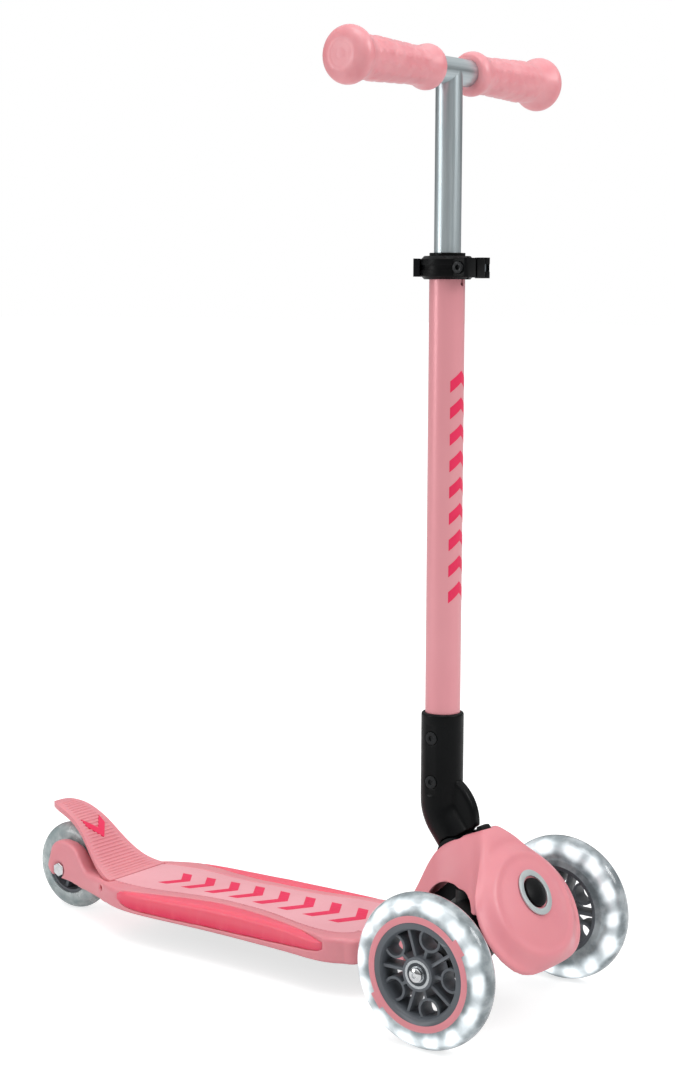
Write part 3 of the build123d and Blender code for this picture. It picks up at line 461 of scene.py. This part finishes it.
def melted(node, voxel_mm, rounds):
    """Blend a CAD node's inner corners as a moulding's are."""
    mesh = applied(clean_copy(node), voxels(voxel_mm), ("SMOOTH", {"factor": 0.5, "iterations": rounds}),
                   ("DECIMATE", {"ratio": MELT_KEEP}))
    finished(node, mesh, 60.0)


RAY_START = 0.02
TREES = {}


def surface_point(node, origin, direction):
    """Where a ray first meets a CAD node, and the normal there, or None."""
    if node not in TREES:
        mesh = NODES[node].data
        TREES[node] = BVHTree.FromPolygons([vertex.co for vertex in mesh.vertices],
                                           [tuple(face.vertices) for face in mesh.polygons])
    place, normal, _, _ = TREES[node].ray_cast(Vector(origin), Vector(direction))
    return (place, normal) if place else None


# ---- printed patterns ----------------------------------------------------------------------------
def quad_grid(corners, across, along):
    """Points of a quad's grid, row by row."""
    a, b, c, d = [Vector(corner) for corner in corners]
    rows = []
    for row in range(along + 1):
        v = row / along
        left, right = a.lerp(d, v), b.lerp(c, v)
        rows.append([left.lerp(right, column / across) for column in range(across + 1)])
    return rows


def printed_patch(name, quads, place, body, lift, thick, across=8, along=8):
    """Thin raised print: flat quads whose points are laid on a surface by place(u, v)."""
    vertices, faces = [], []
    for corners in quads:
        rows = quad_grid(corners, across, along)
        base = len(vertices)
        for level in (lift - thick, lift):
            for row in rows:
                for u, v in row:
                    point, normal = place(u, v)
                    vertices.append(point + normal * level)
        layer = (across + 1) * (along + 1)
        for row in range(along):
            for column in range(across):
                first = base + row * (across + 1) + column
                cell = [first, first + 1, first + across + 2, first + across + 1]
                faces.append([index + layer for index in cell])
                faces.append(cell[::-1])
        rim = [base + column for column in range(across + 1)]
        rim += [base + row * (across + 1) + across for row in range(1, along + 1)]
        rim += [base + along * (across + 1) + column for column in range(across - 1, -1, -1)]
        rim += [base + row * (across + 1) for row in range(along - 1, 0, -1)]
        for first, second in zip(rim, rim[1:] + rim[:1]):
            faces.append([first, second, second + layer, first + layer])
    mesh = mesh_from(name, vertices, faces)
    shade(mesh, 40.0)
    new_piece(name, mesh, body, "coral_insert", PRINT_PINK)


def chevron(centre, half_width, arm, point):
    """Two quads of a chevron that points along +v."""
    low, high = centre - arm / 2, centre + arm / 2
    rise = point / 2
    left = [(-half_width, low - rise), (0, low + rise), (0, high + rise), (-half_width, high - rise)]
    right = [(0, low + rise), (half_width, low - rise), (half_width, high - rise), (0, high + rise)]
    return [left, right]


def turned_back(quads, centre):
    """Quads mirrored about a place along v, so that a chevron points along -v."""
    return [[(u, 2 * centre - v) for u, v in quad][::-1] for quad in quads]


DECK_CHEVRONS = 8
DECK_CHEVRON_HALF = 0.0215
DECK_CHEVRON_TAPER = 0.0006
TUBE_CHEVRONS = 9


def deck_pattern():
    """A band of chevrons along the foot pad, narrower towards the rear."""
    low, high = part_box("deck_pad")
    length = high[1] - low[1]

    def place(u, v):
        hit = surface_point("deck_pad", (u, v, high[2] + RAY_START), (0, 0, -1))
        return hit if hit else (Vector((u, v, high[2])), Vector((0, 0, 1)))

    quads = []
    for number in range(DECK_CHEVRONS):
        centre = low[1] + (0.12 + 0.1 * number) * length
        half_width = DECK_CHEVRON_HALF - DECK_CHEVRON_TAPER * number
        quads += turned_back(chevron(centre, half_width, 0.0105, 0.0125), centre)
    printed_patch("deck_pattern", quads, place, "root", 0.00012, 0.0003)


def tube_pattern():
    """A column of chevrons up the front of the lower tube."""
    elbow_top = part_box("stem_elbow")[1][2]
    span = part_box("clamp_collar")[0][2] - elbow_top

    def place(u, v):
        angle = u / TUBE_R
        normal = Vector((math.sin(angle), -math.cos(angle), 0))
        return Vector((STEM_AXIS.x, STEM_AXIS.y, v)) + normal * TUBE_R, normal

    quads = []
    for number in range(TUBE_CHEVRONS):
        quads += chevron(elbow_top + (0.285 + 0.0605 * number) * span, 0.0105, 0.009, 0.008)
    printed_patch("tube_pattern", quads, place, "stem", 0.00008, 0.0002)


# ---- foot brake ----------------------------------------------------------------------------------
RIB_PITCH = 0.0036
RIB_HALF = 0.0011
RIB_HEIGHT = 0.0010
RIB_SINK = 0.00015
RIB_ACROSS = 14
RIB_STEPS = 5
RIM_WIDTH = 0.0042
NARROWEST_RIB = 0.004


def brake_top(u, v):
    """A point and normal on the brake's top surface, or None beside it."""
    return surface_point("foot_brake", (u, v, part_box("foot_brake")[1][2] + RAY_START), (0, 0, -1))


def brake_width(v):
    """Half width of the brake's top at a place along it."""
    width = 0.0
    while width < 0.05 and brake_top(width, v):
        width += 0.0004
    return width


def rib_places():
    """Places along the brake, evenly spaced over its curved top."""
    low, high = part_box("foot_brake")
    places = []
    travel = 0.0
    last = None
    v = low[1] + 0.006
    while v < high[1] - 0.012:
        hit = brake_top(0.0, v)
        if hit:
            travel += (hit[0] - last).length if last else 0.0
            last = hit[0]
            if travel >= RIB_PITCH * len(places):
                places.append(v)
        v += 0.0002
    return places


def rib_points(v, half):
    """One rib: a half round across the brake, lower at its ends."""
    points = []
    for column in range(RIB_ACROSS + 1):
        u = half * (2 * column / RIB_ACROSS - 1)
        point, normal = brake_top(u, v)
        along = Vector((1, 0, 0)).cross(normal).normalized()
        fade = min(1.0, 4 * (1 - abs(u) / half) + 0.25)
        for step in range(RIB_STEPS + 1):
            turn = math.pi * step / RIB_STEPS
            points.append(point + along * (RIB_HALF * math.cos(turn))
                          + normal * (RIB_HEIGHT * fade * math.sin(turn) - RIB_SINK))
    return points


def rib_faces(base):
    """One rib's faces: its round top, flat underside and two ends."""
    ring = RIB_STEPS + 1
    faces = []
    for column in range(RIB_ACROSS):
        here = base + column * ring
        for place in range(here, here + RIB_STEPS):
            faces.append([place, place + 1, place + ring + 1, place + ring])
        faces.append([here, here + ring, here + ring + RIB_STEPS, here + RIB_STEPS])
    last = base + RIB_ACROSS * ring
    faces.append(list(range(base, base + ring)))
    faces.append(list(range(last, last + ring))[::-1])
    return faces


def brake_ribs():
    """Low half-round ribs across the brake, following its S-curve."""
    vertices, faces = [], []
    for v in rib_places():
        half = brake_width(v) - RIM_WIDTH
        if half >= NARROWEST_RIB:
            faces += rib_faces(len(vertices))
            vertices += rib_points(v, half)
    mesh = mesh_from("foot_brake_ribs", vertices, faces)
    shade(mesh, 50.0)
    new_piece("foot_brake_ribs", mesh, "foot_brake", "pink_plastic")


def brake_mark():
    """A raised chevron in the middle of the brake."""
    low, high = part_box("foot_brake")
    centre = (low[1] + high[1]) / 2
    quads = turned_back(chevron(centre, 0.0115, 0.0075, 0.010), centre)
    printed_patch("foot_brake_mark", quads, brake_top, "foot_brake", 0.0009, 0.0012, 8, 6)


# ---- grips ---------------------------------------------------------------------------------------
GRIP_AROUND = 120
GRIP_ALONG = 170
GRIP_END_RINGS = 8
MARK_ROWS = 12
MARK_PITCH = 0.0125
MARK_HEIGHT = 0.00035
MARKS_FROM = 0.17
MARKS_TO = 0.76


def grip_radius(x):
    """The CAD grip's outer radius at a distance from the middle."""
    hit = surface_point("left_grip", (x, BAR.y, BAR.z + 0.05), (0, 0, -1))
    return hit[0].z - BAR.z if hit else 0.0


def grip_relief(distance, angle):
    """Height of the raised marks: rows of small lens-shaped pads round the barrel."""
    row = angle / (2 * math.pi) * MARK_ROWS
    shift = 0.5 * (math.floor(row) % 2)
    along = (distance / MARK_PITCH + shift) % 1.0 - 0.5
    round_way = row % 1.0 - 0.5
    inside = 1.0 - (2.6 * along) ** 2 - (3.2 * round_way) ** 2
    return MARK_HEIGHT * max(0.0, min(1.0, 3.0 * inside))


def grip_profile(start, end):
    """(distance, radius) down the bore, along the outside and over the ringed end."""
    bore_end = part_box("handlebar_crossbar")[1][0]
    profile = [(bore_end, 0.0), (bore_end, BAR_R), (start, BAR_R)]
    flat_from = end - 0.0004
    for step in range(GRIP_ALONG + 1):
        x = start + 0.00005 + (flat_from - start) * step / GRIP_ALONG
        profile.append((x, grip_radius(x)))
    last = profile[-1][1]
    for step in range(1, GRIP_END_RINGS + 1):
        share = 1 - step / GRIP_END_RINGS
        groove = 0.0003 * (0.5 + 0.5 * math.cos(share * 6 * math.pi))
        profile.append((end - groove * (share > 0.05), last * share))
    return profile


def grip_mesh(side, name):
    """Grip with a bore, a relief-marked barrel and shallow rings on its end."""
    low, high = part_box("left_grip")
    start, end = low[0], high[0]
    profile = grip_profile(start, end)
    vertices, faces = [], []
    for index, (x, radius) in enumerate(profile):
        marked = index > 3 and MARKS_FROM < (x - start) / (end - start) < MARKS_TO
        for turn in range(GRIP_AROUND):
            angle = 2 * math.pi * turn / GRIP_AROUND
            reach = radius + (grip_relief(x - start, angle) if marked else 0.0)
            vertices.append((side * x, BAR.y + reach * math.cos(angle), BAR.z + reach * math.sin(angle)))
    for ring in range(0, (len(profile) - 1) * GRIP_AROUND, GRIP_AROUND):
        for turn in range(GRIP_AROUND):
            here, following = ring + turn, ring + (turn + 1) % GRIP_AROUND
            faces.append([here, following, following + GRIP_AROUND, here + GRIP_AROUND])
    return mesh_from(name, vertices, faces)


def grips():
    """Both grips."""
    for side, node in ((1, "left_grip"), (-1, "right_grip")):
        finished(node, grip_mesh(side, f"{node}_finish"), 50.0)


# ---- front housing -------------------------------------------------------------------------------
STEER_LEAN = math.radians(32.0)
FACE_BACK = Vector((0, math.cos(STEER_LEAN), -math.sin(STEER_LEAN)))
FACE_UP = Vector((0, math.sin(STEER_LEAN), math.cos(STEER_LEAN)))
BUTTON = middle("button_trim_ring")


def eased(value, low, high):
    """Smooth 0 to 1 between two values."""
    share = np.clip((value - low) / (high - low), 0.0, 1.0)
    return share * share * (3 - 2 * share)


def mesh_arrays(mesh):
    """Vertex places, edge ends and the number of edges at each vertex, as arrays."""
    places = np.empty(len(mesh.vertices) * 3)
    mesh.vertices.foreach_get("co", places)
    ends = np.empty(len(mesh.edges) * 2, int)
    mesh.edges.foreach_get("vertices", ends)
    degree = np.bincount(ends, minlength=len(mesh.vertices))
    return places.reshape(-1, 3), ends.reshape(-1, 2), degree[:, None]


INWARD = 0.5
OUTWARD = 0.47


def relaxed(places, ends, degree, melt, weight, rounds):
    """Places smoothed in rounds: fully where melt is 1, and with walls kept in place where it is 0."""
    count = len(places)
    for step in range(rounds * 2):
        total = np.stack([np.bincount(ends[:, 0], places[ends[:, 1], axis], count)
                          + np.bincount(ends[:, 1], places[ends[:, 0], axis], count)
                          for axis in range(3)], axis=1)
        pull = INWARD if step % 2 == 0 else (INWARD + OUTWARD) * melt - OUTWARD
        places = places + pull * weight * (total / degree - places)
    return places


def put_places(mesh, places):
    """Move a mesh's vertices."""
    mesh.vertices.foreach_set("co", places.ravel())
    mesh.update()


SEAM_FILL_MM = 2.6
HOUSING_VOXEL_MM = 0.9
DECK_VOXEL_MM = 1.0
CREASE_HALF_WIDTH = 0.050
CREASE_HALF_HEIGHT = 0.0437
CREASE_BELOW_BUTTON = 0.0075
RIDGE_HEIGHT = 0.0014
DISH_DEPTH = 0.0017
SHOULDER_TAPER = 0.07
PEAK_DROP = 0.0028


def crease_step(across, up):
    """How far the face stands forward of a dome: a soft ridge round an ellipse, dished outside it."""
    reach = np.hypot(across / CREASE_HALF_WIDTH, (up + CREASE_BELOW_BUTTON) / CREASE_HALF_HEIGHT)
    ridge = RIDGE_HEIGHT * np.exp(-((reach - 0.96) / 0.10) ** 2)
    dish = DISH_DEPTH * np.exp(-((reach - 1.2) / 0.13) ** 2)
    return ridge - dish


def housing_finish():
    """The housing with its neck blended into the face, a lower peak and a soft crease round the face."""
    mesh = applied(clean_copy("front_housing"), voxels(HOUSING_VOXEL_MM), swollen(SEAM_FILL_MM),
                   voxels(HOUSING_VOXEL_MM), swollen(-SEAM_FILL_MM))
    places, ends, degree = mesh_arrays(mesh)
    face_back, face_up = np.array(FACE_BACK), np.array(FACE_UP)
    offset = places - np.array(BUTTON)
    across, depth, up = offset[:, 0], offset @ face_back, offset @ face_up
    reach = np.hypot(across, up)
    off_button = eased(reach, 0.019, 0.024)
    off_trim = eased(reach, 0.026, 0.034)
    seam = np.exp(-((depth - 0.013) / 0.009) ** 2) * eased(up, 0.012, 0.028) * off_trim
    weight = off_button * (0.25 + 0.75 * eased(up, 0.008, 0.024))
    places = relaxed(places, ends, degree, seam[:, None], weight[:, None], 45)
    near = 1 - eased(depth, 0.025, 0.060)
    places[:, 0] -= across * SHOULDER_TAPER * eased(up, 0.005, 0.045) * near
    places -= face_up * (PEAK_DROP * eased(up, 0.020, 0.065) * near)[:, None]
    face = (1 - eased(depth, 0.010, 0.015)) * eased(reach, 0.024, 0.030)
    places -= face_back * (crease_step(across, up) * face)[:, None]
    put_places(mesh, places)
    finished("front_housing", mesh, 60.0)


def deck_finish():
    """The deck with crisp edges round the pad and a soft round fork behind it."""
    mesh = applied(clean_copy("deck_body"), voxels(DECK_VOXEL_MM))
    places, ends, degree = mesh_arrays(mesh)
    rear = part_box("deck_body")[1][1]
    fork = eased(places[:, 1], rear - 0.105, rear - 0.085)[:, None]
    put_places(mesh, relaxed(places, ends, degree, 0.9 * fork, 1.0, 10))
    finished("deck_body", mesh, 60.0)


# ---- the object ----------------------------------------------------------------------------------
def finish_nodes():
    """Round the edges of the CAD pieces that show, and give every node its material."""
    for node, obj in NODES.items():
        give(obj, MATERIALS[NODE_SLOT[node]])
    give(NODES["rear_tyre"], REAR_CLEAR)
    give(NODES["front_left_bearings"], BEARING_FACES)
    give(NODES["front_right_bearings"], BEARING_FACES)
    give(NODES["handlebar_crossbar"], CROSSBAR_METAL)
    housing_finish()
    melted("truck", 1.4, 6)
    melted("stem_elbow", 0.8, 4)
    deck_finish()
    bevelled("deck_pad", 0.5)
    for side in ("left", "right"):
        melted(f"{side}_side_insert", 1.0, 12)
        bevelled(f"front_{side}_hub", 0.5)
        bevelled(f"front_{side}_trim_ring", 0.5)
        bevelled(f"front_{side}_axle_bolt", 0.5)
    bevelled("foot_brake", 2.4, segments=4)
    bevelled("clamp_collar", 2.2, segments=4)
    bevelled("clamp_lever", 3.0, segments=5)
    bevelled("clamp_bolt", 0.3)
    bevelled("clamp_sleeve", 0.3)
    bevelled("elbow_bolts", 0.35)
    bevelled("elbow_nuts", 0.35)
    bevelled("button_trim_ring", 0.35)
    bevelled("steering_lock_button", 0.4)
    bevelled("fold_release_button", 0.5)
    bevelled("rear_hub", 0.5)
    bevelled("rear_axle_bolt", 0.4)
    bevelled("rear_axle_nut", 0.4)


finish_nodes()
grips()
deck_pattern()
tube_pattern()
brake_ribs()
brake_mark()


# ---- studio --------------------------------------------------------------------------------------
FLOOR_HALF = 30.0
FLOOR_GLOW = 0.22
FLOOR_GLOW_SEEN = 0.7


def studio_floor():
    """A pale floor that runs to the horizon."""
    mesh = bpy.data.meshes.new("floor")
    corners = [(-FLOOR_HALF, -FLOOR_HALF, 0), (FLOOR_HALF, -FLOOR_HALF, 0),
               (FLOOR_HALF, FLOOR_HALF, 0), (-FLOOR_HALF, FLOOR_HALF, 0)]
    mesh.from_pydata(corners, [], [(0, 1, 2, 3)])
    floor = bpy.data.objects.new("floor", mesh)
    bpy.context.scene.collection.objects.link(floor)
    shader = Shader("studio_floor", Roughness=0.9, Specular_IOR_Level=0.0)
    shader.bsdf.inputs["Emission Color"].default_value = (1.0, 1.0, 1.0, 1.0)
    seen = shader.node("ShaderNodeLightPath").outputs["Is Camera Ray"]
    glow = shader.ramp(seen, 0.0, 1.0, FLOOR_GLOW, FLOOR_GLOW_SEEN)
    shader.links.new(glow, shader.bsdf.inputs["Emission Strength"])
    shader.shades((0.60, 0.60, 0.60, 1.0), (0.59, 0.59, 0.59, 1.0), scale=2.0)
    give(floor, shader.material)
    floor.location.z = -0.0002


def area_light(name, place, target, size, watts):
    """A square soft box aimed at a point."""
    data = bpy.data.lights.new(name, "AREA")
    data.shape = "SQUARE"
    data.size = size
    data.energy = watts
    light = bpy.data.objects.new(name, data)
    light.location = place
    light.rotation_euler = (Vector(target) - Vector(place)).to_track_quat("-Z", "Y").to_euler()
    bpy.context.scene.collection.objects.link(light)


def studio_world():
    """White backdrop, with dimmer walls round the object so that soft boxes shape it."""
    world = bpy.data.worlds.new("studio")
    world.use_nodes = True
    tree = world.node_tree
    coords = tree.nodes.new("ShaderNodeTexCoord")
    split = tree.nodes.new("ShaderNodeSeparateXYZ")
    height = tree.nodes.new("ShaderNodeMapRange")
    height.interpolation_type = "SMOOTHSTEP"
    path = tree.nodes.new("ShaderNodeLightPath")
    choose = tree.nodes.new("ShaderNodeMix")
    tree.links.new(coords.outputs["Generated"], split.inputs[0])
    tree.links.new(split.outputs[2], height.inputs["Value"])
    limits = {"From Min": 0.05, "From Max": 0.9, "To Min": WALL_LIGHT, "To Max": CEILING_LIGHT}
    for key, value in limits.items():
        height.inputs[key].default_value = value
    tree.links.new(path.outputs["Is Camera Ray"], choose.inputs[0])
    tree.links.new(height.outputs[0], choose.inputs[2])
    choose.inputs[3].default_value = 1.0
    background = tree.nodes["Background"]
    background.inputs[0].default_value = (1.0, 1.0, 1.0, 1.0)
    tree.links.new(choose.outputs[0], background.inputs[1])
    bpy.context.scene.world = world


WALL_LIGHT = 0.15
CEILING_LIGHT = 1.0
CAMERA_PLACE = (-1.33357, -1.05130, 0.56844)
CAMERA_AZIMUTH = -53.375
CAMERA_DOWN = 6.931
CAMERA_ROLL = 0.236
CAMERA_LENS = 68.04


def camera():
    """The camera, by azimuth, downward tilt and roll."""
    azimuth, down, roll = (math.radians(value) for value in (CAMERA_AZIMUTH, CAMERA_DOWN, CAMERA_ROLL))
    back = Vector((math.sin(azimuth) * math.cos(down), -math.cos(azimuth) * math.cos(down), math.sin(down)))
    right = Vector((0, 0, 1)).cross(back).normalized()
    up = back.cross(right)
    rolled_right = right * math.cos(roll) + up * math.sin(roll)
    rolled_up = up * math.cos(roll) - right * math.sin(roll)
    data = bpy.data.cameras.new("camera")
    data.sensor_fit = "VERTICAL"
    data.sensor_height = 36.0
    data.lens = CAMERA_LENS
    obj = bpy.data.objects.new("camera", data)
    columns = Matrix((rolled_right, rolled_up, back)).transposed().to_4x4()
    obj.matrix_world = Matrix.Translation(CAMERA_PLACE) @ columns
    bpy.context.scene.collection.objects.link(obj)
    bpy.context.scene.camera = obj


LIGHTS = (
    ("front box", (0.6, -2.0, 1.7), (0, 0, 0.35), 1.0, 17.0),
    ("side box", (-1.9, 1.5, 0.9), (0, 0, 0.4), 1.0, 13.0),
    ("top box", (-0.6, -0.3, 2.4), (0, 0, 0.2), 1.2, 13.0),
)

studio_floor()
studio_world()
camera()
for name, place, target, size, watts in LIGHTS:
    area_light(name, place, target, size, watts)
bpy.context.scene.view_settings.view_transform = "Standard"
